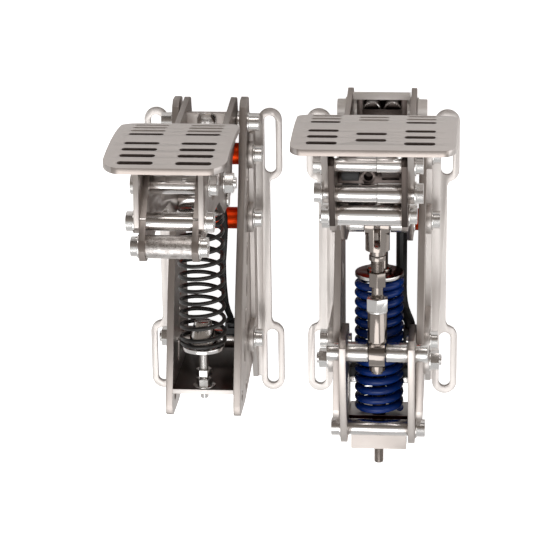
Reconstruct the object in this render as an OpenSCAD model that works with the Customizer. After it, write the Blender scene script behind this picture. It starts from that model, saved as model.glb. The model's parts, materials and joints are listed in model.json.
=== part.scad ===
/* [Base] */
// Length of the foot brackets over the slotted ears
base_len = 220; // [214:1:226]
// Thickness of the foot flanges
foot_t = 4; // [3:0.5:5]
// Width of the mounting slots in the ears
slot_w = 8.5; // [6.5:0.5:9]
// End-to-end length of the mounting slots
slot_len = 43.5; // [36:0.5:46]

/* [Face plates] */
// Width of the throttle face plate
t_face_w = 79; // [76:1:84]
// Width of the brake face plate
b_face_w = 103; // [99:1:107]
// Thickness of both face plates
face_t = 4; // [3:0.5:4.5]

/* [Springs] */
// Wire diameter of the throttle spring
t_wire = 3; // [2.6:0.2:3.8]
// Wire diameter of the brake spring
b_wire = 5.8; // [4.6:0.2:6.2]

/* [Hidden] */
$fn = 40;
tx = -65.25;
bx = 59.75;
ty = -2.4;
hl = base_len / 2;
sl_y = 83;
// side plate inner faces and thickness
t_in = 22;
b_in = 27.5;
pl_t = 5;
web_t = 4;
// arm pivots (Y, Z)
t_pv = [103, 16];
b_pv = [114, 14];
// strut line and guide rod line of the brake
st_z = 88;
st_front = 50;
st_rear = -47;
sp_z = 56;
// throttle spring line
ts_z = 88;

// a flat outline given in (Y, Z) and raised along X from x0 to x1
module along_x(x0, x1) {
  translate([x0, 0, 0]) rotate([90, 0, 90]) linear_extrude(x1 - x0) children();
}
// a round bar along X
module bar_x(y, z, r, x0, x1) {
  translate([x0, y, z]) rotate([0, 90, 0]) cylinder(r = r, h = x1 - x0);
}
// a round bar along Y
module bar_y(x, z, r, y0, y1) {
  translate([x, y1, z]) rotate([90, 0, 0]) cylinder(r = r, h = y1 - y0);
}
// a tube along X
module tube_x(y, z, r, ri, x0, x1) {
  difference() {
    bar_x(y, z, r, x0, x1);
    bar_x(y, z, ri, x0 - 1, x1 + 1);
  }
}
// a low socket head on a washer at x, its crown towards side s, for a bolt along X
module head_x(x, y, z, s, r = 6.5, h = 5) {
  x1 = x + s * (h + 1.2);
  difference() {
    union() {
      bar_x(y, z, r + 1.2, min(x, x + s * 1.2), max(x, x + s * 1.2));
      bar_x(y, z, r, min(x + s * 1.2, x1), max(x + s * 1.2, x1));
    }
    translate([x1 - s * 2.5, y, z]) rotate([0, s * 90, 0]) cylinder(r = r * 0.45, h = 4, $fn = 6);
  }
}
// ---- frame side plates ----
module t_side_outline() {
  difference() {
    polygon([[118, 3], [120, 8], [120, 19], [116, 24], [60, 42], [-10, 74], [-86, 100], [-93, 99],
             [-96, 94], [-96, 64], [-86, 8], [-81, 3]]);
    translate(t_pv) circle(r = 5.05);
    for (p = [[78.6, 14], [31.9, 22], [-58.6, 30]]) translate(p) circle(r = 4.05);
    // a row of lengthened lightening holes that follows the sloping top edge
    for (p = [[92, 19], [56, 25], [8, 34], [-14, 40], [-36, 50], [-58, 60]]) translate(p)
      rotate(-18) {
        square([9, 8], center = true);
        translate([-4.5, 0]) circle(r = 4);
        translate([4.5, 0]) circle(r = 4);
      }
    for (p = [[-84, 84], [-86, 56]]) translate(p) circle(r = 4);
  }
}
module throttle_side_plates() color([0.72, 0.69, 0.67]) {
  for (s = [-1, 1]) translate([tx, ty, 0])
    along_x(s > 0 ? t_in : -t_in - pl_t, s > 0 ? t_in + pl_t : -t_in) t_side_outline();
}
module b_side_outline() {
  difference() {
    polygon([[96, 3], [99, 7], [99, 22], [95, 28], [-10, 66], [-94, 84], [-99, 83], [-102, 79],
             [-102, 66], [-90, 7], [-86, 3]]);
    for (p = [[80, 16], [32, 20], [-47, 60], [-63, 58]]) translate(p) circle(r = 4.05);
    for (p = [[54, 24], [-6, 34], [-30, 38]]) translate(p) {
      square([10, 10], center = true);
      translate([-5, 0]) circle(r = 5);
      translate([5, 0]) circle(r = 5);
    }
    translate([-80, 40]) circle(r = 5);
  }
}
module brake_side_plates() color([0.72, 0.69, 0.67]) {
  for (s = [-1, 1]) translate([bx, ty, 0])
    along_x(s > 0 ? b_in : -b_in - pl_t, s > 0 ? b_in + pl_t : -b_in) b_side_outline();
}

// ---- foot brackets: an upright web and a flange with two slotted ears ----
module slot2d(l, w) {
  square([w, l - w], center = true);
  for (s = [-1, 1]) translate([0, s * (l - w) / 2]) circle(d = w);
}
module foot(xin, xstrip, xslot, xout, holes) {
  re = xout - xslot;
  // flange with a capsule-shaped loop round each slot
  linear_extrude(foot_t) difference() {
    union() {
      translate([xin, -99]) square([xstrip - xin, 203]);
      for (s = [-1, 1]) mirror([0, s < 0 ? 1 : 0]) translate([0, sl_y]) {
        translate([xslot - re, re + sl_y - hl]) square([2 * re, 2 * (hl - sl_y - re)]);
        for (q = [-1, 1]) translate([xslot, q * (hl - sl_y - re)]) circle(r = re);
        // smooth run from the strip into the loop
        translate([xstrip - 0.5, sl_y - hl - 4]) difference() {
          square([6.5, 6.5]);
          translate([6.5, 0]) circle(r = 6);
        }
      }
    }
    for (s = [-1, 1]) translate([xslot, s * sl_y]) slot2d(slot_len, slot_w);
  }
  // web with a scalloped edge and a pointed tail
  along_x(xin, xin + web_t) difference() {
    union() {
      translate([-72, 0]) square([166.5, 16]);
      polygon([[-99, 0], [-99, 6], [-82, 12], [-71, 22], [-60, 22], [-60, 0]]);
      for (h = holes) translate(h) circle(r = 10.5);
      for (h = holes) translate([h[0] - 10.5, 2]) square([21, h[1] - 2]);
    }
    for (h = holes) translate(h) circle(r = 4.05);
  }
}
t_holes = [[78.6, 14], [31.9, 22], [-58.6, 30]];
b_holes = [[80, 16], [32, 20], [-47, 60], [-63, 58]];
module throttle_foot_right() color([0.74, 0.71, 0.69]) translate([tx, ty, 0])
  foot(t_in + pl_t, 41.5, 42, 50.7, t_holes);
module throttle_foot_left() color([0.74, 0.71, 0.69]) translate([tx, ty, 0]) mirror([1, 0, 0])
  foot(t_in + pl_t, 41.5, 42, 50.7, t_holes);
module brake_foot_right() color([0.74, 0.71, 0.69]) translate([bx, ty, 0])
  foot(b_in + pl_t, 47.5, 47, 56.2, b_holes);
module brake_foot_left() color([0.74, 0.71, 0.69]) translate([bx, ty, 0]) mirror([1, 0, 0])
  foot(b_in + pl_t, 47.5, 47, 56.2, b_holes);

// ---- frame cross tubes ----
module throttle_spacer_tubes() color([0.85, 0.2, 0.08]) translate([tx, ty, 0])
  for (p = [[78.6, 14], [31.9, 22]]) tube_x(p[0], p[1], 8, 4.05, -t_in, t_in);
module throttle_rear_tube() color([0.78, 0.77, 0.76]) translate([tx, ty, 0])
  tube_x(-58.6, 30, 8, 4.05, -t_in, t_in);
module brake_spacer_tubes() color([0.85, 0.2, 0.08]) translate([bx, ty, 0])
  for (p = [[80, 16], [32, 20]]) tube_x(p[0], p[1], 8, 4.05, -b_in, b_in);
// a fixed bracket: two cheeks that carry the arm's pivot, joined by a strap at the front
module brake_pivot_cheeks() color([0.5, 0.47, 0.45]) translate([bx, ty, 0]) {
  for (s = [-1, 1]) along_x(s > 0 ? 14 : -18, s > 0 ? 18 : -14) difference() {
    polygon([[70, 5], [68, 12], [70, 22], [78, 26], [84, 26], [96, 20.5], [125, 20.5], [120.2, 12],
             [118, 3], [74, 3]]);
    translate([80, 16]) circle(r = 8.03);
    translate(b_pv) circle(r = 5.03);
    translate([98, 14]) circle(r = 4.5);
  }
  translate([-20.6, 122.2, 20.4]) cube([41.2, 5, 3]);
}
module brake_stop_plate() color([0.5, 0.47, 0.45]) translate([bx, ty, 0]) difference() {
  union() {
    translate([-13.98, 103.4, 3]) cube([27.96, 3, 18]);
    translate([-13.98, 103.4, 3]) cube([27.96, 16, 3]);
    translate([-13.98, 103.4, 18.5]) cube([27.96, 10.8, 2.5]);
  }
  for (x = [-7.4, 7.4]) translate([x, 113, 2]) cylinder(r = 2.52, h = 6);
}
module throttle_rear_plate() color([0.62, 0.58, 0.55]) translate([tx, ty, 0]) difference() {
  translate([-t_in, -78.5, 5]) cube([2 * t_in, 3.5, 92]);
  bar_y(0, ts_z, 3.03, -80, -70);
}
module throttle_stop_plate() color([0.7, 0.67, 0.65]) translate([tx, ty, 0]) difference() {
  translate([-15, 101, 34]) cube([30, 14, 4]);
  translate([0, 109, 33]) cylinder(r = 3.05, h = 6);
}
module throttle_stop_bolt() color([0.8, 0.79, 0.78]) translate([tx, 109 + ty, 0]) {
  translate([0, 0, 27]) cylinder(r = 3, h = 17);
  translate([0, 0, 38]) cylinder(r = 7, h = 1);
  translate([0, 0, 39]) cylinder(r = 6.2, h = 5, $fn = 6);
}
module throttle_frame_bolts() color([0.82, 0.81, 0.8]) translate([tx, ty, 0]) {
  for (p = t_holes) {
    xo = t_in + pl_t + web_t;
    bar_x(p[0], p[1], 4, -xo - 9, xo + 0.5);
    head_x(xo, p[0], p[1], 1);
  }
}
module throttle_frame_nuts() color([0.82, 0.81, 0.8]) translate([tx, ty, 0]) {
  xo = t_in + pl_t + web_t;
  for (p = t_holes) difference() {
    union() {
      bar_x(p[0], p[1], 8.2, -xo - 1.2, -xo);
      translate([-xo - 1.2, p[0], p[1]]) rotate([0, -90, 0]) cylinder(r = 7.4, h = 6, $fn = 6);
    }
    bar_x(p[0], p[1], 4.02, -xo - 12, -xo + 1);
  }
}
module brake_frame_bolts() color([0.82, 0.81, 0.8]) translate([bx, ty, 0]) {
  xo = b_in + pl_t + web_t;
  for (p = [[80, 16], [32, 20]]) {
    bar_x(p[0], p[1], 4, -xo - 9, xo + 0.5);
    head_x(xo, p[0], p[1], 1);
  }
  for (s = [-1, 1]) {
    bar_x(-47, 60, 4, s > 0 ? 19.8 : -xo - 0.5, s > 0 ? xo + 0.5 : -19.8);
    head_x(s * xo, -47, 60, s);
    bar_x(-63, 58, 4, s > 0 ? 19.8 : -xo - 9, s > 0 ? xo + 9 : -19.8);
  }
}
module brake_frame_nuts() color([0.82, 0.81, 0.8]) translate([bx, ty, 0]) {
  xo = b_in + pl_t + web_t;
  for (p = [[80, 16], [32, 20]]) difference() {
    union() {
      bar_x(p[0], p[1], 8.2, -xo - 1.2, -xo);
      translate([-xo - 1.2, p[0], p[1]]) rotate([0, -90, 0]) cylinder(r = 7.4, h = 6, $fn = 6);
    }
    bar_x(p[0], p[1], 4.02, -xo - 12, -xo + 1);
  }
  for (s = [-1, 1]) difference() {
    union() {
      bar_x(-63, 58, 8.2, s > 0 ? xo : -xo - 1.2, s > 0 ? xo + 1.2 : -xo);
      translate([s * (xo + 1.2), -63, 58]) rotate([0, s * 90, 0]) cylinder(r = 7.4, h = 6, $fn = 6);
    }
    bar_x(-63, 58, 4.02, s > 0 ? xo - 1 : -xo - 12, s > 0 ? xo + 12 : -xo + 1);
  }
}

// ---- pivots ----
module throttle_pivot_pin() color([0.8, 0.79, 0.78]) translate([tx, ty, 0]) {
  xo = t_in + pl_t;
  bar_x(t_pv[0], t_pv[1], 5, -xo, xo);
  for (s = [-1, 1]) {
    head_x(s * xo, t_pv[0], t_pv[1], s, 6.5, 7.5);
    bar_x(t_pv[0], t_pv[1], 8, s > 0 ? 19.3 : -t_in, s > 0 ? t_in : -19.3);
  }
}
// two short shoulder bolts, one at each side
module brake_pivot_pin() color([0.8, 0.79, 0.78]) translate([bx, ty, 0])
  for (s = [-1, 1]) {
    bar_x(b_pv[0], b_pv[1], 5, s > 0 ? 14 : -25.4, s > 0 ? 25.4 : -14);
    head_x(s * 25.3, b_pv[0], b_pv[1], s, 6.5, 6);
    bar_x(b_pv[0], b_pv[1], 8, s > 0 ? 18.02 : -20.7, s > 0 ? 20.7 : -18.02);
  }

// ---- throttle arm ----
t_tubes = [[111, 214, 6], [93, 236, 6], [78, 241.5, 7.5]];
// a cross bolt half way up the arm
t_mid = [82, 105];
t_cup = [66, 88];
module throttle_arm_plates() color([0.66, 0.6, 0.57]) translate([tx, ty, 0])
  for (s = [-1, 1]) along_x(s > 0 ? 15 : -19, s > 0 ? 19 : -15) difference() {
    union() {
      polygon([[92.5, 22], [94, 8], [103, 3.5], [119, 8], [121, 14], [116, 60], [113, 90], [115, 196], [119, 207],
               [119, 217], [115, 223], [84, 248.5], [77, 250.5], [70, 247], [68, 240], [70, 228], [79, 180],
               [76, 132], [59.2, 102], [59.2, 76], [62, 62], [66, 54], [72, 52], [82, 48]]);
      translate(t_pv) circle(r = 12);
    }
    translate(t_pv) circle(r = 5.08);
    for (t = t_tubes) translate([t[0], t[1]]) circle(r = 4.05);
    translate(t_cup) circle(r = 4.05);
    translate(t_mid) circle(r = 4.05);
    translate([93, 150]) slot2d(44, 12);
    translate([96, 84]) slot2d(34, 11);
  }
module throttle_arm_tubes() color([0.8, 0.78, 0.77]) translate([tx, ty, 0]) {
  for (t = t_tubes) tube_x(t[0], t[1], t[2], 4.05, -15, 15);
  tube_x(t_cup[0], t_cup[1], 6.6, 4.05, -15, 15);
  tube_x(t_mid[0], t_mid[1], 6, 4.05, -15, 15);
}
module throttle_arm_bolts() color([0.82, 0.81, 0.8]) translate([tx, ty, 0])
  for (t = [t_tubes[0], t_tubes[1], t_tubes[2], [t_cup[0], t_cup[1], 7]]) {
    xo = t[1] > 200 && t[0] > 90 ? 22.3 : 19;
    bar_x(t[0], t[1], 4, -xo - 0.5, xo + 0.5);
    for (s = [-1, 1]) if (t[1] > 200) head_x(s * xo, t[0], t[1], s, 6.5, 4.5);
    for (s = [-1, 1]) if (t[1] < 200) bar_x(t[0], t[1], 6, s > 0 ? 19 : -20.8, s > 0 ? 20.8 : -19);
  }
module throttle_mid_bolt() color([0.82, 0.81, 0.8]) translate([tx, ty, 0])
  for (s = [-1, 1]) {
    bar_x(t_mid[0], t_mid[1], 4, s > 0 ? 0 : -28, s > 0 ? 28 : 0);
    bar_x(t_mid[0], t_mid[1], 7.6, s > 0 ? 19 : -20.2, s > 0 ? 20.2 : -19);
    translate([s * 20.2, t_mid[0], t_mid[1]]) rotate([0, s * 90, 0]) cylinder(r = 7.2, h = 6, $fn = 6);
  }
// the flat side of a link: round its two bolts and forward to the face plate at (yf, z0..z1)
module link_outline(tubes, yf, z0, z1) {
  difference() {
    polygon([[tubes[1][0] - 7, tubes[1][1] + 3], [tubes[1][0] - 2, tubes[1][1] + 8.5], [yf - 10, z1],
             [yf, z1], [yf, z0], [yf - 8, z0], [tubes[0][0] - 2, tubes[0][1] - 9],
             [tubes[0][0] - 8, tubes[0][1] - 4]]);
    for (t = [tubes[0], tubes[1]]) translate([t[0], t[1]]) circle(r = 4.05);
  }
}
// curvature of both face plates and the height of their foremost line
fr = 260;
t_fc = [138.7, 190];
b_fc = [149.8, 200];
// everything behind the back of a face plate
module behind(c, w) {
  translate([-w, c[0] - fr, c[1]]) rotate([0, 90, 0]) cylinder(r = fr - face_t - 0.02, h = 2 * w, $fn = 360);
}
// one link with its flange against the back of the face plate, on the +X side
module link(x0, x1, tubes, c, z0, z1, xf, zs) {
  intersection() {
    behind(c, 60);
    difference() {
      union() {
        along_x(x0, x1) link_outline(tubes, c[0] + 4, z0, z1);
        difference() {
          translate([xf, c[0] - 20, z0]) cube([x0 - xf + 0.5, 24, z1 - z0]);
          translate([-60, c[0] - fr, c[1]]) rotate([0, 90, 0]) cylinder(r = fr - face_t - 3, h = 120, $fn = 360);
        }
      }
      for (z = zs) translate([xf + 4, c[0] + 6, z]) rotate([90, 0, 0]) cylinder(r = 2.05, h = 24);
    }
  }
}
module throttle_links() color([0.7, 0.66, 0.63]) translate([tx, ty, 0])
  for (s = [-1, 1]) mirror([s < 0 ? 1 : 0, 0, 0])
    link(19, 22.3, t_tubes, t_fc, 182, 240, 9, [192, 230]);
// ---- face plates: a curved sheet with rows of slots ----
module face(w, zlo, zhi, c, cols, rows, sl, mid, rc, xm = 0) {
  zm = (zlo + zhi) / 2;
  h = zhi - zlo;
  intersection() {
    difference() {
      translate([-w / 2, c[0] - fr, c[1]]) rotate([0, 90, 0]) cylinder(r = fr, h = w, $fn = 360);
      translate([-w / 2 - 1, c[0] - fr, c[1]]) rotate([0, 90, 0]) cylinder(r = fr - face_t, h = w + 2, $fn = 360);
      for (k = cols) for (z = rows) translate([k, c[0] + 20, z]) rotate([90, 90, 0])
        linear_extrude(60) slot2d(sl, 4.4);
      for (z = mid) translate([xm, c[0] + 20, z]) rotate([90, 90, 0]) linear_extrude(60) slot2d(sl, 4.4);
    }
    translate([0, c[0] + 30, zm]) rotate([90, 0, 0]) linear_extrude(80) union() {
      square([w - 2 * rc, h], center = true);
      square([w, h - 2 * rc], center = true);
      for (a = [-1, 1]) for (b = [-1, 1]) translate([a * (w / 2 - rc), b * (h / 2 - rc)]) circle(r = rc);
    }
  }
}
module throttle_face_plate() color([0.76, 0.74, 0.72]) translate([tx - 2, ty, 0])
  face(t_face_w, 152, 250, t_fc, [-18.5, 18.5], [243, 232.5, 222.5, 211.5, 192, 182.5, 173, 163], 23, [], 12.5);
module brake_face_plate() color([0.76, 0.74, 0.72]) translate([bx + 3.5, ty, 0])
  face(b_face_w, 175, 250, b_fc, [-32, 29], [240, 229.5, 218.5, 199, 189.5, 180], 19.5, [235, 224, 192.5, 184], 8, -1.5);
// short studs welded to the back of a face plate, each with a nut behind the link's flange
module face_stud(x, z, c) {
  yb = c[0] - fr + sqrt((fr - face_t) * (fr - face_t) - (z - c[1]) * (z - c[1]));
  bar_y(x, z, 2, yb - 8.5, yb - 0.6);
  bar_y(x, z, 4, yb - 7, yb - 4.2);
}
module throttle_face_bolts() color([0.82, 0.81, 0.8]) translate([tx, ty, 0])
  for (s = [-1, 1]) for (z = [192, 230]) face_stud(s * 13, z, t_fc);

// ---- throttle spring group ----
module throttle_spring_cup() color([0.8, 0.79, 0.78]) translate([tx, ty, 0]) difference() {
  union() {
    bar_y(0, ts_z, 16.4, 55.5, 58.5);
    bar_y(0, ts_z, 11, 52.5, 56);
    bar_y(0, ts_z, 6, 58.5, 59.6);
  }
  bar_x(t_cup[0], t_cup[1], 6.62, -15, 15);
}
// wire pitch closes up at both ends
function ypos(f, y0, y1, w, turns) = let (c = 1.2 / turns, m = (abs(y1 - y0) - 2.4 * w) / (1 - 2 * c))
  f < c ? f / c * 1.2 * w : (f > 1 - c ? 1.2 * w + m * (1 - 2 * c) + (f - 1 + c) / c * 1.2 * w
  : 1.2 * w + (f - c) * m);
module coil(x, z, rm, wr, y0, y1, turns, n, k) {
  N = floor(turns * n);
  pts = [for (i = [0 : N]) for (j = [0 : k - 1])
    let (a = 360 * i / n, b = 360 * j / k, r = rm + wr * cos(b), f = i / N)
    [r * cos(a), y0 - wr - (ypos(f, y0 - wr, y1 + wr, 2 * wr * 1.02, turns)) + wr * sin(b), r * sin(a)]];
  faces = concat(
    [[for (j = [0 : k - 1]) j]],
    [[for (j = [k - 1 : -1 : 0]) N * k + j]],
    [for (i = [0 : N - 1]) for (j = [0 : k - 1])
      [i * k + j, (i + 1) * k + j, (i + 1) * k + (j + 1) % k, i * k + (j + 1) % k]]);
  translate([x, 0, z]) polyhedron(points = pts, faces = faces, convexity = 20);
}
module throttle_spring() color([0.06, 0.06, 0.065])
  translate([0, ty, 0]) coil(tx, ts_z, 17 - t_wire / 2, t_wire / 2, 55.3, -43, 11.5, 14, 6);
module throttle_spring_seat() color([0.82, 0.81, 0.8]) translate([tx, ty, 0]) {
  bar_y(0, ts_z, 15.4, -46.2, -43.3);
  translate([0, -43.3, ts_z]) rotate([-90, 0, 0]) cylinder(r1 = 11, r2 = 6, h = 18);
  bar_y(0, ts_z, 3, -84, -46.2);
}
module throttle_spring_nuts() color([0.82, 0.81, 0.8]) translate([tx, ty, 0]) {
  for (y = [-74.2, -67]) translate([0, y, ts_z]) rotate([-90, 0, 0]) difference() {
    cylinder(r = 5.77, h = 5, $fn = 6);
    translate([0, 0, -1]) cylinder(r = 3.02, h = 8);
  }
  difference() {
    bar_y(0, ts_z, 8, -75, -74.2);
    bar_y(0, ts_z, 3.02, -76, -73);
  }
}
// a small block under the arm that reads its position, with its magnet's recess
module throttle_sensor() color([0.05, 0.05, 0.055]) translate([tx, ty, 0]) difference() {
  translate([-12, 41.5, 22]) cube([12, 14, 12]);
  translate([-6, 48, 31]) cylinder(r = 2.5, h = 4);
}
module swept(route, r, k) {
  N = len(route) - 1;
  pts = [for (i = [0 : N]) let (
      a = route[max(i - 1, 0)], b = route[min(i + 1, N)], d = (b - a) / norm(b - a),
      u0 = cross([0, 0, 1], d), u = u0 / norm(u0), v = cross(d, u))
    for (j = [0 : k - 1]) route[i] + r * cos(360 * j / k) * u + r * sin(360 * j / k) * v];
  faces = concat([[for (j = [k - 1 : -1 : 0]) j]], [[for (j = [0 : k - 1]) N * k + j]],
    [for (i = [0 : N - 1]) for (j = [0 : k - 1])
      [i * k + j, i * k + (j + 1) % k, (i + 1) * k + (j + 1) % k, (i + 1) * k + j]]);
  polyhedron(points = pts, faces = faces, convexity = 10);
}
t_route = [[0, 52, 30], [3, 52, 30], [7, 50, 33], [10, 46, 39], [12, 40, 46], [13, 33, 52],
           [13, 26, 57], [12.6, 18, 59], [12, 10, 60], [12, 2, 60], [12.2, -6, 60], [12.6, -14, 59],
           [13, -22, 57], [13.8, -29, 53], [14.6, -34, 48.5], [15, -37, 45.5], [15, -40, 45.5]];
module throttle_cable() color([0.03, 0.03, 0.03]) translate([tx, ty, 0]) swept(t_route, 2.4, 8);
module throttle_cable_gland() color([0.04, 0.04, 0.045]) translate([tx, ty, 0]) {
  difference() {
    translate([11.5, -49, 39]) cube([10.5, 9, 12]);
    translate([14, -44, 49]) cube([5, 3, 3]);
  }
}

// ---- brake arm ----
b_tubes = [[129.5, 224, 5.5], [108.5, 218, 6], [92.5, 210, 7.8]];
b_eye = [st_front, st_z];
module brake_arm_plates() color([0.66, 0.6, 0.57]) translate([bx, ty, 0])
  for (s = [-1, 1]) along_x(s > 0 ? 21 : -25, s > 0 ? 25 : -21) difference() {
    union() {
      polygon([[101.5, 20], [105, 4], [114, 2], [126, 4], [128, 10], [126, 18], [120, 60], [124, 180],
               [136, 214], [137, 227], [130, 233], [106, 228], [87, 220.5], [82, 214], [82, 204], [92, 186],
               [84, 130], [42, 100], [38, 92], [36, 60], [36, 46], [43, 44], [64, 60]]);
      translate(b_pv) circle(r = 12);
    }
    translate(b_pv) circle(r = 5.08);
    for (t = b_tubes) translate([t[0], t[1]]) circle(r = 4.05);
    translate(b_eye) circle(r = 4.05);
    translate([106, 154]) slot2d(44, 12);
    translate([102, 88]) slot2d(34, 11);
    translate([76, 84]) circle(r = 7);
  }
module brake_arm_tubes() color([0.8, 0.78, 0.77]) translate([bx, ty, 0]) {
  // the two front tubes are in two lengths, the right one a little thicker
  for (t = [b_tubes[0], b_tubes[1]]) {
    tube_x(t[0], t[1], t[2], 4.05, -21, 5.4);
    tube_x(t[0], t[1], t[2] + 0.5, 4.05, 5.5, 21);
  }
  tube_x(b_tubes[2][0], b_tubes[2][1], b_tubes[2][2], 4.05, -21, 21);
}
module brake_arm_bolts() color([0.82, 0.81, 0.8]) translate([bx, ty, 0]) {
  for (t = b_tubes) {
    xo = t[0] > 95 ? 29 : 25;
    bar_x(t[0], t[1], 4, -xo - 0.5, xo + 0.5);
    for (s = [-1, 1]) head_x(s * xo, t[0], t[1], s, 6.5, 4.5);
  }
  bar_x(b_eye[0], b_eye[1], 4, -25, 25);
  for (s = [-1, 1]) bar_x(b_eye[0], b_eye[1], 6.2, s > 0 ? 25 : -26.2, s > 0 ? 26.2 : -25);
  for (s = [-1, 1]) bar_x(b_eye[0], b_eye[1], 7, s > 0 ? 9.2 : -21, s > 0 ? 21 : -9.2);
}
module brake_links() color([0.7, 0.66, 0.63]) translate([bx, ty, 0])
  for (s = [-1, 1]) mirror([s < 0 ? 1 : 0, 0, 0])
    link(25, 29, [b_tubes[1], b_tubes[0]], b_fc, 186, 242, 16, [194, 232]);
module brake_face_bolts() color([0.82, 0.81, 0.8]) translate([bx, ty, 0])
  for (s = [-1, 1]) for (z = [194, 232]) face_stud(s * 20, z, b_fc);
// a bridge plate in the arm's head with a small block, a hexagonal boss and a rib on it
module brake_arm_bridge() color([0.3, 0.28, 0.27]) translate([bx, ty, 0]) difference() {
  union() {
    translate([-20.98, 105, 196]) cube([41.96, 16, 3]);
    translate([-17.5, 115.8, 199]) cube([11, 5, 17]);
    translate([-0.5, 118.2, 199]) cylinder(r = 5.2, h = 15, $fn = 6);
    translate([8, 114.8, 199]) cube([11, 3.2, 11]);
  }
  translate([-0.5, 118.2, 204]) cylinder(r = 2.9, h = 12);
}
// the pad of the arm that presses the guide rod
module brake_pusher() color([0.66, 0.62, 0.6]) translate([bx, ty, 0]) difference() {
  union() {
    translate([-21, 38.3, 46]) cube([42, 5, 6]);
    translate([-10, 38.3, 46]) cube([20, 5, 20]);
  }
  bar_y(0, sp_z, 2, 41, 46);
}
module brake_bumpers() color([0.1, 0.1, 0.1]) translate([bx, ty, 0])
  for (x = [-7.4, 7.4]) translate([x, 113, 0]) difference() {
    union() {
      translate([0, 0, 3.2]) cylinder(r = 2.5, h = 5);
      translate([0, 0, 6]) cylinder(r = 6.3, h = 11);
    }
    translate([0, 0, 16]) cylinder(r = 5.2, h = 4);
  }

// ---- brake rear group ----
module brake_rear_plates() color([0.66, 0.6, 0.57]) translate([bx, ty, 0])
  for (s = [-1, 1]) along_x(s > 0 ? 22 : -27, s > 0 ? 27 : -22) difference() {
    polygon([[-36, 76], [-36, 94], [-41, 99], [-54, 99], [-112, 84], [-118, 82], [-121, 78],
             [-121, 44], [-116, 38], [-72, 34], [-60, 46], [-38, 52]]);
    translate([-47, 88]) circle(r = 4.05);
    translate([-47, 60]) circle(r = 4.05);
    translate([-63, 58]) circle(r = 4.05);
    translate([-112, 70]) circle(r = 4.05);
    translate([-84, 64]) rotate(90) slot2d(26, 11);
  }
module brake_rear_tubes() color([0.8, 0.78, 0.77]) translate([bx, ty, 0]) {
  bar_x(-112, 70, 4, -28, 28);
  for (s = [-1, 1]) head_x(s * 27, -112, 70, s, 6.5, 6);
  bar_x(-112, 70, 6, -22, 22);
}
// the load cell bar lies across under the spring, hollowed round it
module brake_load_cell() color([0.06, 0.06, 0.065]) translate([bx, ty, 0]) difference() {
  translate([-21.98, -81.5, 27]) cube([43.96, 7.5, 20]);
  bar_y(0, sp_z, 18.8, -90, -70);
}
module brake_cell_plate() color([0.8, 0.79, 0.78]) translate([bx, ty, 0]) difference() {
  translate([-21.98, -86, 27]) cube([43.96, 4.5, 20]);
  bar_y(0, sp_z, 18.8, -90, -70);
}
module brake_strut_pin() color([0.82, 0.81, 0.8]) translate([bx, ty, 0]) {
  bar_x(st_rear, st_z, 4, -30.5, 30.5);
  for (s = [-1, 1]) {
    bar_x(st_rear, st_z, 7.4, s > 0 ? 6.3 : -22, s > 0 ? 22 : -6.3);
    bar_x(st_rear, st_z, 6.8, s > 0 ? 27 : -36, s > 0 ? 36 : -27);
  }
}
module brake_strut_sleeve() color([0.74, 0.73, 0.74]) translate([bx, ty, 0]) difference() {
  union() {
    bar_y(0, st_z, 7, -38.4, -16);
    bar_x(st_rear, st_z, 11, -5.6, 5.6);
    bar_y(0, st_z, 5.6, -60.5, -50);
    bar_y(0, st_z, 4, -62.5, -60);
  }
  bar_x(st_rear, st_z, 4.06, -12, 12);
  bar_y(0, st_z, 4.27, -40, -15);
}
module brake_sleeve_nut() color([0.82, 0.81, 0.8]) translate([bx, ty, 0]) difference() {
  union() {
    translate([0, -14.8, st_z]) rotate([-90, 30, 0]) cylinder(r = 8.4, h = 9.2, $fn = 6);
    bar_y(0, st_z, 7.6, -16, -14.8);
  }
  bar_y(0, st_z, 4.27, -17, -4);
}
module brake_strut_rod() color([0.8, 0.79, 0.8]) translate([bx, ty, 0]) difference() {
  union() {
    bar_x(st_front, st_z, 9, -8.6, 8.6);
    bar_y(0, st_z, 8.6, 30, 50);
    bar_y(0, st_z, 5.4, 26, 30);
    bar_y(0, st_z, 4.2, -30, 30);
  }
  bar_x(st_front, st_z, 4.45, -12, 12);
  translate([-2.2, 34, 70]) cube([4.4, 30, 36]);
}
module brake_strut_nuts() color([0.82, 0.81, 0.8]) translate([bx, ty, 0]) {
  difference() {
    translate([0, 3, st_z]) rotate([-90, 30, 0]) cylinder(r = 6.6, h = 10.4, $fn = 6);
    bar_y(0, st_z, 4.22, 0, 20);
  }
  difference() {
    bar_y(0, st_z, 6, 22.4, 25.9);
    bar_y(0, st_z, 4.22, 20, 30);
  }
}
module brake_guide_rod() color([0.8, 0.79, 0.8]) translate([bx, ty, 0]) {
  bar_y(0, sp_z, 5, -112, 34);
  bar_y(0, sp_z, 3.2, -145, -112);
  bar_y(0, sp_z, 6.2, 7, 34);
  translate([0, 34, sp_z]) rotate([-90, 0, 0]) cylinder(r1 = 6.2, r2 = 2, h = 4);
  bar_y(0, sp_z, 9, 3.4, 7);
}
module brake_spring_washer() color([0.45, 0.2, 0.2]) translate([bx, ty, 0]) difference() {
  bar_y(0, sp_z, 17.6, 0.8, 3.4);
  bar_y(0, sp_z, 5.02, -1, 5);
}
module brake_spring() color([0.06, 0.12, 0.3])
  translate([0, ty, 0]) coil(bx, sp_z, 18 - b_wire / 2, b_wire / 2, 0.6, -105.5, 14, 14, 6);
module brake_spring_perch() color([0.7, 0.67, 0.65]) translate([bx, ty, 0]) difference() {
  translate([-21.98, -111.4, 34]) cube([43.96, 5.6, 28.5]);
  bar_y(0, sp_z, 5.06, -114, -100);
}
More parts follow.
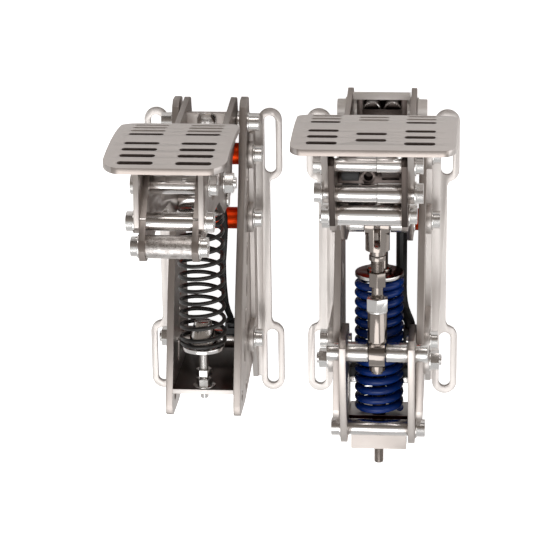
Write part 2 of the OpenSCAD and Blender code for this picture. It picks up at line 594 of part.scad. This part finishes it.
module brake_end_bracket() color([0.74, 0.71, 0.69]) translate([bx, ty, 0]) difference() {
  union() {
    translate([-20.3, -132.5, 46]) cube([40.6, 12, 16]);
    translate([-21.98, -121, 46]) cube([43.96, 3.5, 16]);
  }
  bar_y(0, sp_z, 3.26, -135, -115);
  translate([-14, -129, 44]) cube([28, 6, 6]);
}
b_route = [[15.2, 32, 32.5], [15.2, 26, 32.5], [15.2, 19, 32.5], [15.2, 12, 32.5], [15.2, 5, 32.5],
           [15.2, -2, 32.5], [15.2, -9, 32.5], [15.2, -16, 32.5], [15.4, -22, 32.7], [16, -27, 33.5],
           [17.2, -32, 35.2], [19, -36, 37.4], [20.8, -39.5, 39.2], [21.6, -42, 39.8], [21.6, -44.5, 39.8]];
module brake_cable() color([0.03, 0.03, 0.03]) translate([bx, ty, 0]) swept(b_route, 4, 10);
module brake_cable_clip() color([0.04, 0.04, 0.045]) translate([bx, ty, 0]) difference() {
  translate([10.2, 28, 25]) cube([10, 6.5, 12.4]);
  bar_x(32, 20, 8.03, 0, 30);
  bar_y(15.2, 32.5, 4.02, 10, 32);
}
module brake_cable_gland() color([0.04, 0.04, 0.045]) translate([bx, ty, 0]) {
  difference() {
    translate([17, -56, 34.6]) cube([9.6, 11.5, 12]);
    translate([20, -53, 45]) cube([4, 3, 3]);
  }
}

throttle_side_plates();
throttle_foot_left();
throttle_foot_right();
throttle_spacer_tubes();
throttle_rear_tube();
throttle_rear_plate();
throttle_stop_plate();
throttle_stop_bolt();
throttle_frame_bolts();
throttle_frame_nuts();
throttle_pivot_pin();
throttle_arm_plates();
throttle_arm_tubes();
throttle_arm_bolts();
throttle_mid_bolt();
throttle_links();
throttle_face_plate();
throttle_face_bolts();
throttle_spring_cup();
throttle_spring();
throttle_spring_seat();
throttle_spring_nuts();
throttle_sensor();
throttle_cable();
throttle_cable_gland();
brake_side_plates();
brake_foot_left();
brake_foot_right();
brake_spacer_tubes();
brake_pivot_cheeks();
brake_stop_plate();
brake_bumpers();
brake_frame_bolts();
brake_frame_nuts();
brake_pivot_pin();
brake_arm_plates();
brake_arm_tubes();
brake_arm_bolts();
brake_links();
brake_face_plate();
brake_face_bolts();
brake_arm_bridge();
brake_pusher();
brake_rear_plates();
brake_rear_tubes();
brake_load_cell();
brake_cell_plate();
brake_strut_pin();
brake_strut_sleeve();
brake_sleeve_nut();
brake_strut_rod();
brake_strut_nuts();
brake_guide_rod();
brake_spring_washer();
brake_spring();
brake_spring_perch();
brake_end_bracket();
brake_cable();
brake_cable_clip();
brake_cable_gland();
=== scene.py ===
import json
import math
import bmesh
import bpy
from mathutils import Matrix, Vector, noise


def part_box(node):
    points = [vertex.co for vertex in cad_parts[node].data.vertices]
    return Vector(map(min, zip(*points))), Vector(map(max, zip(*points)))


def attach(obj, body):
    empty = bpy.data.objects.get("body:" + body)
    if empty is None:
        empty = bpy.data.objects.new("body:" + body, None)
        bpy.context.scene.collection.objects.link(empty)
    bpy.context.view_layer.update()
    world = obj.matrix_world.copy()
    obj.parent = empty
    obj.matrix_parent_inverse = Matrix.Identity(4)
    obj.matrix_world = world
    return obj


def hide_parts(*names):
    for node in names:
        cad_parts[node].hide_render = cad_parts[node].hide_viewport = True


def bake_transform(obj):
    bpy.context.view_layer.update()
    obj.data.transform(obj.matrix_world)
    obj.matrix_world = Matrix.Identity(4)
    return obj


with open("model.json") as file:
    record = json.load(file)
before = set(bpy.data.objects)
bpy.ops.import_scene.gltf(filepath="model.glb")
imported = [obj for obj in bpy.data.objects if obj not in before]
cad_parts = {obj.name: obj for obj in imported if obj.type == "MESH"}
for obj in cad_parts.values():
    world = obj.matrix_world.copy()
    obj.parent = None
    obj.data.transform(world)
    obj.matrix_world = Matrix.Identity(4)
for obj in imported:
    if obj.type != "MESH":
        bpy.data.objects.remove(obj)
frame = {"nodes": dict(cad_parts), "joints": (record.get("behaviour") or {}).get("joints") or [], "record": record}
nodes = frame["nodes"]
joints = frame["joints"]
groups = frame["record"]["behaviour"]["bodies"]
body_of = {n: b for b, ns in groups.items() for n in ns}


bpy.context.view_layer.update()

TX, BX, TY = -0.06525, 0.05975, -0.0024

# ------------------------------------------------------------------ materials


def new_mat(name):
    m = bpy.data.materials.new(name)
    m.use_nodes = True
    nt = m.node_tree
    nt.nodes.clear()
    out = nt.nodes.new("ShaderNodeOutputMaterial")
    b = nt.nodes.new("ShaderNodeBsdfPrincipled")
    nt.links.new(b.outputs[0], out.inputs[0])
    return m, nt, b


def coords(nt, scale):
    tc = nt.nodes.new("ShaderNodeTexCoord")
    mp = nt.nodes.new("ShaderNodeMapping")
    mp.inputs["Scale"].default_value = scale
    nt.links.new(tc.outputs["Object"], mp.inputs["Vector"])
    return mp.outputs["Vector"]


def noise_node(nt, vec, scale, detail=4.0, rough=0.6):
    n = nt.nodes.new("ShaderNodeTexNoise")
    n.inputs["Scale"].default_value = scale
    n.inputs["Detail"].default_value = detail
    n.inputs["Roughness"].default_value = rough
    nt.links.new(vec, n.inputs["Vector"])
    return n.outputs["Fac"]


def ramp(nt, fac, stops):
    r = nt.nodes.new("ShaderNodeValToRGB")
    while len(r.color_ramp.elements) > 1:
        r.color_ramp.elements.remove(r.color_ramp.elements[-1])
    r.color_ramp.elements[0].position = stops[0][0]
    r.color_ramp.elements[0].color = (*stops[0][1], 1)
    for p, c in stops[1:]:
        e = r.color_ramp.elements.new(p)
        e.color = (*c, 1)
    nt.links.new(fac, r.inputs["Fac"])
    return r.outputs["Color"]


def map_range(nt, fac, a, b, lo=0.3, hi=0.7):
    n = nt.nodes.new("ShaderNodeMapRange")
    n.inputs["From Min"].default_value = lo
    n.inputs["From Max"].default_value = hi
    n.inputs["To Min"].default_value = a
    n.inputs["To Max"].default_value = b
    nt.links.new(fac, n.inputs["Value"])
    return n.outputs["Result"]


def bump(nt, fac, strength, dist, shader):
    n = nt.nodes.new("ShaderNodeBump")
    n.inputs["Strength"].default_value = strength
    n.inputs["Distance"].default_value = dist
    nt.links.new(fac, n.inputs["Height"])
    nt.links.new(n.outputs["Normal"], shader.inputs["Normal"])


def steel(name, light, dark, r0, r1, grain=(1, 1, 1), fine=2200.0, bump_s=0.12, patch=18.0, metal=1.0):
    m, nt, b = new_mat(name)
    b.inputs["Metallic"].default_value = metal
    broad = noise_node(nt, coords(nt, (1, 1, 1)), patch, 3.0, 0.55)
    nt.links.new(ramp(nt, broad, [(0.3, dark), (0.7, light)]), b.inputs["Base Color"])
    f = noise_node(nt, coords(nt, grain), fine, 5.0, 0.7)
    nt.links.new(map_range(nt, f, r0, r1), b.inputs["Roughness"])
    bump(nt, f, bump_s, 0.0002, b)
    return m


MAT = {}
MAT["plate"] = steel("plate_steel", (0.62, 0.575, 0.545), (0.50, 0.455, 0.425), 0.28, 0.42, (1, 1, 1), 2600.0, 0.10)
MAT["foot"] = steel("foot_steel", (0.66, 0.625, 0.60), (0.58, 0.54, 0.515), 0.36, 0.50, (1, 1, 1), 2600.0, 0.10)
MAT["face"] = steel("face_steel", (0.66, 0.615, 0.59), (0.60, 0.555, 0.53), 0.34, 0.46, (1, 1, 1), 2600.0, 0.10)
# painted shade: a darker copy of the plate steel for the arm plates and pushers, which lie in the face plates' shade,
# and for the face plates' top lip
MAT["arm"] = steel("arm_painted_shade_steel", (0.44, 0.39, 0.36), (0.33, 0.285, 0.26), 0.26, 0.40, (1, 1, 1), 2600.0, 0.10)
# painted shade: near-black steel for parts and faces that sit in shaded pockets, slots and behind other parts
MAT["dark"] = steel("painted_shade_steel", (0.150, 0.125, 0.115), (0.10, 0.082, 0.075), 0.24, 0.36, (1, 1, 1), 2600.0, 0.08)
MAT["turned"] = steel("turned_steel", (0.80, 0.78, 0.765), (0.70, 0.675, 0.66), 0.11, 0.22, (260, 4, 4), 30.0, 0.05)
MAT["blasted"] = steel("blasted_steel", (0.74, 0.70, 0.67), (0.66, 0.62, 0.59), 0.40, 0.55, (1, 1, 1), 2600.0, 0.10, 18.0, 0.35)
# painted shade: the darkest steel, for the brake arm plates' edges under the face plate and the guide rod's middle
# inside the spring
MAT["darkest_painted_shade"] = steel("darkest_painted_shade_steel", (0.095, 0.078, 0.070), (0.055, 0.045, 0.040), 0.30, 0.42, (1, 1, 1), 2600.0, 0.08)
# painted shade: a darker copy of the plate steel for the plates' edge faces and the end bracket
MAT["edge"] = steel("edge_painted_shade_steel", (0.48, 0.435, 0.41), (0.40, 0.36, 0.335), 0.32, 0.44, (1, 1, 1), 2600.0, 0.10)
MAT["bolt"] = steel("bolt_steel", (0.86, 0.845, 0.83), (0.70, 0.68, 0.66), 0.17, 0.28, (1, 1, 1), 900.0, 0.05)
MAT["knurl"] = steel("knurled_steel", (0.76, 0.73, 0.71), (0.42, 0.385, 0.365), 0.20, 0.46, (1, 1, 1), 900.0, 1.0, 260.0)
# painted shade: a darker copy of the turned steel for the strut parts, their threads and the stop bolt's sides
MAT["strut"] = steel("strut_painted_shade_steel", (0.44, 0.395, 0.36), (0.30, 0.262, 0.238), 0.10, 0.20, (260, 4, 4), 30.0, 0.05)
# painted shade: a dark red tint on the spring washer's front face and the spring perch's top
MAT["red_painted_shade"] = steel("red_painted_shade_steel", (0.20, 0.070, 0.062), (0.12, 0.040, 0.036), 0.16, 0.28, (1, 1, 1), 900.0, 0.04)


def orange():
    m, nt, b = new_mat("orange_anodised")
    b.inputs["Metallic"].default_value = 0.9
    broad = noise_node(nt, coords(nt, (1, 1, 1)), 40.0, 3.0, 0.5)
    nt.links.new(ramp(nt, broad, [(0.3, (0.92, 0.050, 0.004)), (0.7, (0.98, 0.085, 0.007))]), b.inputs["Base Color"])
    f = noise_node(nt, coords(nt, (300, 6, 6)), 20.0, 4.0, 0.6)
    nt.links.new(map_range(nt, f, 0.32, 0.44), b.inputs["Roughness"])
    bump(nt, f, 0.05, 0.0002, b)
    return m


def painted(name, light, dark, r0, r1, coat, bump_s, fine=700.0):
    m, nt, b = new_mat(name)
    b.inputs["Metallic"].default_value = 0.0
    broad = noise_node(nt, coords(nt, (1, 1, 1)), 60.0, 3.0, 0.5)
    nt.links.new(ramp(nt, broad, [(0.3, dark), (0.7, light)]), b.inputs["Base Color"])
    f = noise_node(nt, coords(nt, (1, 1, 1)), fine, 4.0, 0.6)
    nt.links.new(map_range(nt, f, r0, r1), b.inputs["Roughness"])
    b.inputs["Coat Weight"].default_value = coat
    b.inputs["Coat Roughness"].default_value = 0.12
    bump(nt, f, bump_s, 0.0002, b)
    return m


MAT["orange"] = orange()
MAT["black_spring"] = painted("black_powder", (0.017, 0.0145, 0.013), (0.009, 0.008, 0.0075), 0.28, 0.42, 0.2, 0.10)
MAT["blue_spring"] = painted("blue_gloss", (0.0018, 0.034, 0.22), (0.0009, 0.017, 0.12), 0.18, 0.28, 0.08, 0.04)
MAT["blue_spring"].node_tree.nodes["Principled BSDF"].inputs["Specular IOR Level"].default_value = 0.32
MAT["plastic"] = painted("black_plastic", (0.030, 0.030, 0.031), (0.018, 0.018, 0.019), 0.40, 0.55, 0.0, 0.15)
MAT["cable"] = painted("cable_black", (0.020, 0.020, 0.021), (0.012, 0.012, 0.013), 0.42, 0.55, 0.0, 0.10)


def look(n):
    if "spacer_tubes" in n:
        return "orange"
    if n == "throttle_spring":
        return "black_spring"
    if n == "brake_spring":
        return "blue_spring"
    if n == "throttle_rear_plate":
        return "foot"
    # painted shade: the darker edge steel on the end bracket damps the top lamp's reflection on its upward faces
    if n == "brake_end_bracket":
        return "edge"
    if n == "brake_pivot_pin":
        return "blasted"
    # painted shade: cheeks, stop plate, bridge and bumpers sit in the shaded pocket between the arms and under the face
    # plate, so they get the near-black steel
    if n in ("brake_pivot_cheeks", "brake_stop_plate", "brake_arm_bridge", "brake_bumpers"):
        return "dark"
    if n == "brake_cell_plate":
        return "bolt"
    # painted shade: the strut parts get the darker copy of the turned steel
    if n in ("brake_strut_rod", "brake_strut_sleeve", "brake_guide_rod", "brake_strut_nuts"):
        return "strut"
    if "foot_" in n:
        return "foot"
    if "gland" in n or "clip" in n or "sensor" in n or "load_cell" in n:
        return "plastic"
    if "cable" in n:
        return "cable"
    if "face_plate" in n:
        return "face"
    if any(k in n for k in ("bolt", "nut", "pin", "washer")):
        return "bolt"
    if any(k in n for k in ("tube", "rod", "sleeve", "seat", "cup", "strut")):
        return "turned"
    # painted shade: arm plates and pushers get the darker arm steel
    if "arm_plates" in n or "pusher" in n:
        return "arm"
    return "plate"


def set_mat(o, m):
    o.data.materials.clear()
    o.data.materials.append(m)


for n, o in nodes.items():
    for i in range(len(o.material_slots)):
        o.material_slots[i].material = MAT[look(n)]
    if not o.material_slots:
        o.data.materials.append(MAT[look(n)])


# ------------------------------------------------------- crisp edged copies


# second material on some faces of a node; apart from the knurl and the plastic, each split sets painted shade apart
# from the lit faces
SPLIT = {
    "throttle_arm_tubes": ("knurl", lambda c, nn: c.z > 0.2 and c.y < 0.0835 and abs(nn.x) < 0.5),
    # painted shade: dark red tint on the washer's front face only
    "brake_spring_washer": ("red_painted_shade", lambda c, nn: nn.y > 0.9),
    # painted shade: the rear plate's faces toward ±Y get the near-black steel, standing in for the dark surroundings
    # they reflect
    "throttle_rear_plate": ("dark", lambda c, nn: abs(nn.y) > 0.9),
    # the cheeks' top front faces keep the blasted steel; their other faces carry the near-black steel as painted shade
    "brake_pivot_cheeks": ("blasted", lambda c, nn: c.y > 0.119 and c.z > 0.0202 and nn.z > -0.5),
    # the bumpers' top rims keep the bolt steel; the rest of each bumper carries the near-black steel as painted shade
    "brake_bumpers": ("bolt", lambda c, nn: c.z > 0.0155 and nn.z > 0.2 and math.hypot(abs(c.x - BX) - 0.0074, c.y - 0.1106) > 0.0052),
    "brake_arm_bridge": ("plastic", lambda c, nn: c.x < BX - 0.006 and c.z > 0.1995),
    # painted shade: the brake arm plates' upper edges lie in the face plate's shadow
    "brake_arm_plates": ("darkest_painted_shade", lambda c, nn: c.z > 0.2 and c.y > 0.0845 and abs(nn.x) < 0.7),
    # painted shade: the edge faces of these plates get the darker edge steel
    "throttle_arm_plates": ("edge", lambda c, nn: abs(nn.x) < 0.7 and c.y > 0.085),
    "throttle_side_plates": ("edge", lambda c, nn: abs(nn.x) < 0.7),
    "brake_side_plates": ("edge", lambda c, nn: abs(nn.x) < 0.7 and c.y > -0.06),
    # painted shade: dark red tint on the perch's top faces
    "brake_spring_perch": ("red_painted_shade", lambda c, nn: nn.z > 0.9),
    # painted shade: the middle of the guide rod lies inside the spring
    "brake_guide_rod": ("darkest_painted_shade", lambda c, nn: -0.105 < c.y < 0.0),
    # painted shade: the stop bolt's sides are darker than its top
    "throttle_stop_bolt": ("strut", lambda c, nn: abs(nn.z) < 0.5),
    # painted shade: the near-black steel on the slots' upward walls and the darker arm steel on the top lip
    "throttle_face_plate": (("dark", lambda c, nn: nn.z > 0.5 and 0.187 < c.z < 0.2465 and abs(c.x - TX + 0.002) < 0.032),
                            ("arm", lambda c, nn: nn.z > 0.9 and c.z > 0.2485)),
    # painted shade, as above: near-black slot walls and a darker top lip
    "brake_face_plate": (("dark", lambda c, nn: nn.z > 0.5 and 0.1945 < c.z < 0.2465 and abs(c.x - BX - 0.0035) < 0.044),
                         ("arm", lambda c, nn: nn.z > 0.9 and c.z > 0.2485)),
}


def refined(n, width=0.00035, seg=2, angle=28):
    """A copy of a CAD node with small rounded edges, so that they catch the light."""
    src = nodes[n]
    bm = bmesh.new()
    bm.from_mesh(src.data)
    bmesh.ops.remove_doubles(bm, verts=bm.verts, dist=2e-6)
    bmesh.ops.dissolve_limit(bm, angle_limit=math.radians(0.6), verts=bm.verts, edges=bm.edges)
    me = bpy.data.meshes.new(n + "_fine")
    bm.to_mesh(me)
    bm.free()
    o = bpy.data.objects.new(n + "_fine", me)
    bpy.context.collection.objects.link(o)
    mod = o.modifiers.new("edge", "BEVEL")
    mod.width = width
    mod.segments = seg
    mod.limit_method = "ANGLE"
    mod.angle_limit = math.radians(angle)
    mod.harden_normals = False
    mod.use_clamp_overlap = True
    dg = bpy.context.evaluated_depsgraph_get()
    fine = bpy.data.meshes.new_from_object(o.evaluated_get(dg))
    o.modifiers.clear()
    o.data = fine
    set_mat(o, MAT[look(n)])
    extra = SPLIT.get(n, ())
    if extra and isinstance(extra[0], str):
        extra = (extra,)
    # faces picked by the SPLIT tests get the second material, mostly painted shade
    for k, (mat, test) in enumerate(extra):
        o.data.materials.append(MAT[mat])
        for p in fine.polygons:
            if test(p.center, p.normal):
                p.material_index = k + 1
    # broad flat faces stay flat, round faces and the rounded edges are smooth
    bm = bmesh.new()
    bm.from_mesh(fine)
    for f in bm.faces:
        f.smooth = True
        near = 180.0
        for e in f.edges:
            for g in e.link_faces:
                if g is not f:
                    d = math.degrees(f.normal.angle(g.normal, 0.0))
                    if d > 0.3:
                        near = min(near, d)
        if near > 14.0 and f.calc_area() > 0.0004 * f.calc_perimeter():
            f.smooth = False
    bm.to_mesh(fine)
    bm.free()
    fine.set_sharp_from_angle(angle=math.radians(32))
    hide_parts(n)
    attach(o, body_of[n])
    return o


PLAIN = ("throttle_spring", "brake_spring", "throttle_cable", "brake_cable")
WIDE = {"side_plates": 0.0005, "arm_plates": 0.0005, "rear_plates": 0.0005, "foot_": 0.0006, "face_plate": 0.0005}
for n in sorted(nodes):
    if n in PLAIN:
        continue
    w = next((v for k, v in WIDE.items() if k in n), 0.0003)
    refined(n, w)


# ------------------------------------------------------------------- springs


def spring(name, x, z, rm, wr, y0, y1, turns, node, squash_ends=1.0, per=36, k=14, flat=0.16):
    """A wound spring along Y from y0 to y1 (outer faces), its end turns closed and ground flat."""
    N = int(turns * per)
    bm = bmesh.new()
    c = squash_ends / turns
    span = abs(y0 - y1) - 2 * wr
    close = 2 * wr * 1.03
    mid = span - 2 * squash_ends * close

    def along(f):
        if f < c:
            return f / c * squash_ends * close
        if f > 1 - c:
            return squash_ends * close + mid + (f - 1 + c) / c * squash_ends * close
        t = (f - c) / (1 - 2 * c)
        return squash_ends * close + mid * t

    prev = None
    rings = []
    for i in range(N + 1):
        f = i / N
        # a little smoothing where the pitch changes
        y = sum(along(min(1, max(0, f + d * 0.25 / turns))) for d in (-1, -0.5, 0, 0.5, 1)) / 5
        a = 2 * math.pi * i / per
        ring = []
        for j in range(k):
            b = 2 * math.pi * j / k
            r = rm + wr * math.cos(b)
            yy = y0 - wr - y + wr * math.sin(b)
            yy = min(y0, max(y1, yy))
            ring.append(bm.verts.new((x + r * math.cos(a), yy, z + r * math.sin(a))))
        rings.append(ring)
    for i in range(N):
        for j in range(k):
            bm.faces.new((rings[i][j], rings[i + 1][j], rings[i + 1][(j + 1) % k], rings[i][(j + 1) % k]))
    bm.faces.new(rings[0])
    bm.faces.new(list(reversed(rings[-1])))
    bmesh.ops.recalc_face_normals(bm, faces=bm.faces)
    me = bpy.data.meshes.new(name)
    bm.to_mesh(me)
    bm.free()
    for p in me.polygons:
        p.use_smooth = True
    me.set_sharp_from_angle(angle=math.radians(50))
    o = bpy.data.objects.new(name, me)
    bpy.context.collection.objects.link(o)
    set_mat(o, MAT[look(node)])
    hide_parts(node)
    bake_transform(o)
    return o


lo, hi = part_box("throttle_spring")
spring("throttle_coil", (lo.x + hi.x) / 2, 0.088, 0.017 - 0.0015, 0.0015, hi.y, lo.y, 11.5, "throttle_spring")
lo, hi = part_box("brake_spring")
spring("brake_coil", BX, 0.056, 0.018 - 0.0029, 0.0029, hi.y, lo.y, 14, "brake_spring")

# ------------------------------------------------------------------- threads


def thread(name, x, z, r, depth, y0, y1, pitch, mat, body, k=28):
    """A cut thread round a stud along Y: one continuous helical ridge with closed ends."""
    bm = bmesh.new()
    turns = int(round((y0 - y1) / pitch))
    per = k
    rows = []
    for i in range(turns * per + 1):
        a = 2 * math.pi * i / per
        y = y0 - pitch * i / per
        ring = []
        for dy, rr in ((0.0, r), (0.42, r + depth), (0.58, r + depth), (1.0, r)):
            yy = max(y1, y - dy * pitch)
            ring.append(bm.verts.new((x + rr * math.cos(a), yy, z + rr * math.sin(a))))
        rows.append(ring)
    for i in range(len(rows) - 1):
        for j in range(3):
            bm.faces.new((rows[i][j], rows[i + 1][j], rows[i + 1][j + 1], rows[i][j + 1]))
        bm.faces.new((rows[i][3], rows[i + 1][3], rows[i + 1][0], rows[i][0]))
    bm.faces.new(list(reversed(rows[0])))
    bm.faces.new(rows[-1])
    bmesh.ops.recalc_face_normals(bm, faces=bm.faces)
    me = bpy.data.meshes.new(name)
    bm.to_mesh(me)
    bm.free()
    o = bpy.data.objects.new(name, me)
    bpy.context.collection.objects.link(o)
    set_mat(o, MAT[mat])
    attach(o, body)
    return o


# painted shade: the strut and guide rod threads use the darker strut steel
thread("strut_thread", BX, 0.088, 0.0041, 0.0005, 0.0195, 0.0115, 0.0011, "strut", body_of["brake_strut_rod"])
thread("guide_rod_thread", BX, 0.056, 0.0031, 0.0004, -0.1356, -0.1468, 0.0010, "strut", body_of["brake_guide_rod"])
thread("throttle_stud_thread", TX, 0.088, 0.0029, 0.0004, -0.0492, -0.0682, 0.0010, "bolt", body_of["throttle_spring_seat"])

# --------------------------------------------------------------------- stage
me = bpy.data.meshes.new("floor")
me.from_pydata([(-6, -6, 0), (6, -6, 0), (6, 6, 0), (-6, 6, 0)], [], [(0, 1, 2, 3)])
floor = bpy.data.objects.new("floor", me)
floor.location = (0, 0, -0.0004)
bpy.context.collection.objects.link(floor)
fm = bpy.data.materials.new("floor_white")
fm.use_nodes = True
nt = fm.node_tree
nt.nodes.clear()
out = nt.nodes.new("ShaderNodeOutputMaterial")
b = nt.nodes.new("ShaderNodeBsdfPrincipled")
b.inputs["Base Color"].default_value = (0.9, 0.9, 0.9, 1)
b.inputs["Roughness"].default_value = 0.9
b.inputs["Specular IOR Level"].default_value = 0.1
b.inputs["Emission Color"].default_value = (1, 1, 1, 1)
# the sheet is bright white to look at and returns only a soft light to the part
lp = nt.nodes.new("ShaderNodeLightPath")
mr = nt.nodes.new("ShaderNodeMapRange")
mr.inputs["To Min"].default_value = 0.02
mr.inputs["To Max"].default_value = 0.95
nt.links.new(lp.outputs["Is Camera Ray"], mr.inputs["Value"])
nt.links.new(mr.outputs["Result"], b.inputs["Emission Strength"])
nt.links.new(b.outputs[0], out.inputs[0])
floor.data.materials.append(fm)

# studio surroundings: bright overhead and behind the springs, dim and warm on the driver's side
world = bpy.data.worlds.new("studio")
bpy.context.scene.world = world
world.use_nodes = True
wn = world.node_tree
bg = wn.nodes["Background"]
tc = wn.nodes.new("ShaderNodeTexCoord")
sep = wn.nodes.new("ShaderNodeSeparateXYZ")
wn.links.new(tc.outputs["Generated"], sep.inputs["Vector"])
wmap = wn.nodes.new("ShaderNodeMapRange")
wmap.inputs["From Min"].default_value = -1.0
wmap.inputs["From Max"].default_value = 1.0
wn.links.new(sep.outputs["Y"], wmap.inputs["Value"])
wcol = ramp(wn, wmap.outputs["Result"], [(0.0, (1.0, 1.0, 1.0)), (0.54, (1.0, 0.99, 0.98)), (0.60, (0.44, 0.390, 0.345)), (0.76, (0.30, 0.262, 0.232)), (1.0, (0.09, 0.078, 0.070))])
wn.links.new(wcol, bg.inputs["Color"])
bg.inputs["Strength"].default_value = 0.62


def area(name, loc, target, size, power, col=(1, 1, 1)):
    l = bpy.data.lights.new(name, "AREA")
    l.shape = "RECTANGLE"
    l.size, l.size_y = size
    l.energy = power
    l.color = col
    o = bpy.data.objects.new(name, l)
    o.location = loc
    d = Vector(target) - Vector(loc)
    o.rotation_euler = d.to_track_quat("-Z", "Y").to_euler()
    bpy.context.collection.objects.link(o)
    return o


area("top", (-0.15, -0.75, 1.6), (0, 0, 0.05), (1.5, 1.1), 11)
area("front", (0.1, 1.25, 0.75), (0, 0.1, 0.15), (1.0, 0.5), 3.5, (1.0, 0.96, 0.93))
area("side", (1.3, 0.0, 0.9), (0, 0, 0.1), (0.5, 1.4), 3.0)

bpy.context.scene.view_settings.view_transform = "Standard"
bpy.context.scene.view_settings.look = "None"

# -------------------------------------------------------------------- camera
F = 2157.4
cam_data = bpy.data.cameras.new("camera")
cam_data.sensor_width = 36.0
cam_data.lens = F / 550.0 * 36.0
cam_data.clip_start = 0.05
cam = bpy.data.objects.new("camera", cam_data)
bpy.context.collection.objects.link(cam)
pos = Vector((0.1228, 0.48455, 1.5347))
back = Vector((0.08873, 0.31201, 0.94593)).normalized()
up = Vector((-0.01611, 0.95, -0.31184))
right = up.cross(back).normalized()
up = back.cross(right).normalized()
cam.matrix_world = Matrix((
    (right.x, up.x, back.x, pos.x),
    (right.y, up.y, back.y, pos.y),
    (right.z, up.z, back.z, pos.z),
    (0, 0, 0, 1),
))
bpy.context.scene.camera = cam
